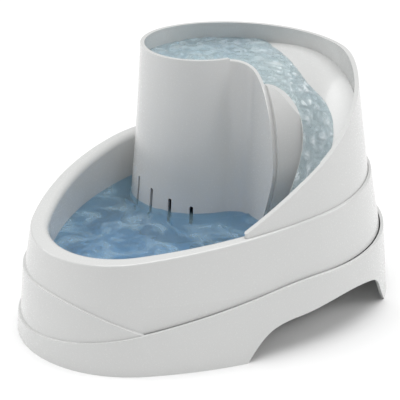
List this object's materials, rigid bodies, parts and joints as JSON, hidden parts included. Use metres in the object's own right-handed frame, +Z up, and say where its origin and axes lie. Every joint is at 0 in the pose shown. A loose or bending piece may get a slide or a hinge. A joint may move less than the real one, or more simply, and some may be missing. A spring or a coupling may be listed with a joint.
{
  "type": "pet water fountain",
  "caption": "Egg-shaped water basin with a removable spiral tower: a raised pool, a curling chute, a submersible pump and a filter cassette.",
  "frame": {"origin": "centre of the footprint on the floor", "axes": "+Z up, the drinking end points along -Y, the chute is on the +X side"},
  "size_m": [0.2875, 0.36, 0.209],
  "materials": {
    "shell": "glossy white moulding",
    "pump_plastic": "fine-grained dark moulding",
    "lamination": "stacked sheets",
    "bobbin_nylon": "natural nylon",
    "copper_wire": "enamelled wire",
    "resin": "cast resin",
    "black_rubber": "soft",
    "clear_rubber": "soft, milky",
    "magnet": "bonded ferrite",
    "ceramic": "polished ceramic",
    "impeller_plastic": "plain moulding",
    "dial_plastic": "glossy moulding",
    "tube_plastic": "milky tube",
    "filter_plastic": "plain moulding",
    "foam": "open-cell foam",
    "carbon": "loose granules"
  },
  "bodies": {
    "basin": {"basin": "shell", "pump_body": "pump_plastic", "stator_core": "lamination", "coil_bobbin": "bobbin_nylon", "coil_winding": "copper_wire", "potting_resin": "resin", "cord_gland": "black_rubber", "impeller_shaft": "ceramic", "front_bush": "ceramic", "rear_bush": "ceramic", "chamber_cover": "pump_plastic", "chamber_seal": "black_rubber", "outlet_adapter": "tube_plastic", "filter_holder": "shell", "suction_cup_1": "clear_rubber", "suction_cup_2": "clear_rubber", "suction_cup_3": "clear_rubber", "suction_cup_4": "clear_rubber"},
    "tower": {"tower": "shell", "riser_tube": "tube_plastic", "riser_grommet": "clear_rubber"},
    "nozzle": {"nozzle_cap": "shell"},
    "rotor": {"rotor_magnet": "magnet", "impeller": "impeller_plastic"},
    "dial": {"flow_dial": "dial_plastic"},
    "intake": {"intake_cover": "pump_plastic"},
    "cassette": {"cassette_frame": "filter_plastic", "cassette_grille": "filter_plastic", "foam_pad": "foam", "carbon_bed": "carbon"}
  },
  "joints": [
    {"name": "tower_lift", "type": "slide", "parent": "basin", "child": "tower", "axis": [0, 0, 1], "range_m": [0, 0.25]},
    {"name": "nozzle_lift", "type": "slide", "parent": "tower", "child": "nozzle", "axis": [0, 0, 1], "range_m": [0, 0.02]},
    {"name": "impeller_spin", "type": "hinge", "parent": "basin", "child": "rotor", "pos_m": [-0.053, 0.0588, 0.0315], "axis": [0, 1, 0], "continuous": true},
    {"name": "dial_turn", "type": "hinge", "parent": "basin", "child": "dial", "pos_m": [-0.03, 0.0544, 0.054], "axis": [1, 0, 0], "range_deg": [0, 90]},
    {"name": "intake_slide", "type": "slide", "parent": "basin", "child": "intake", "axis": [0, -1, 0], "range_m": [0, 0.0075]},
    {"name": "cassette_lift", "type": "slide", "parent": "basin", "child": "cassette", "axis": [0, 0, 1], "range_m": [0, 0.03]}
  ]
}
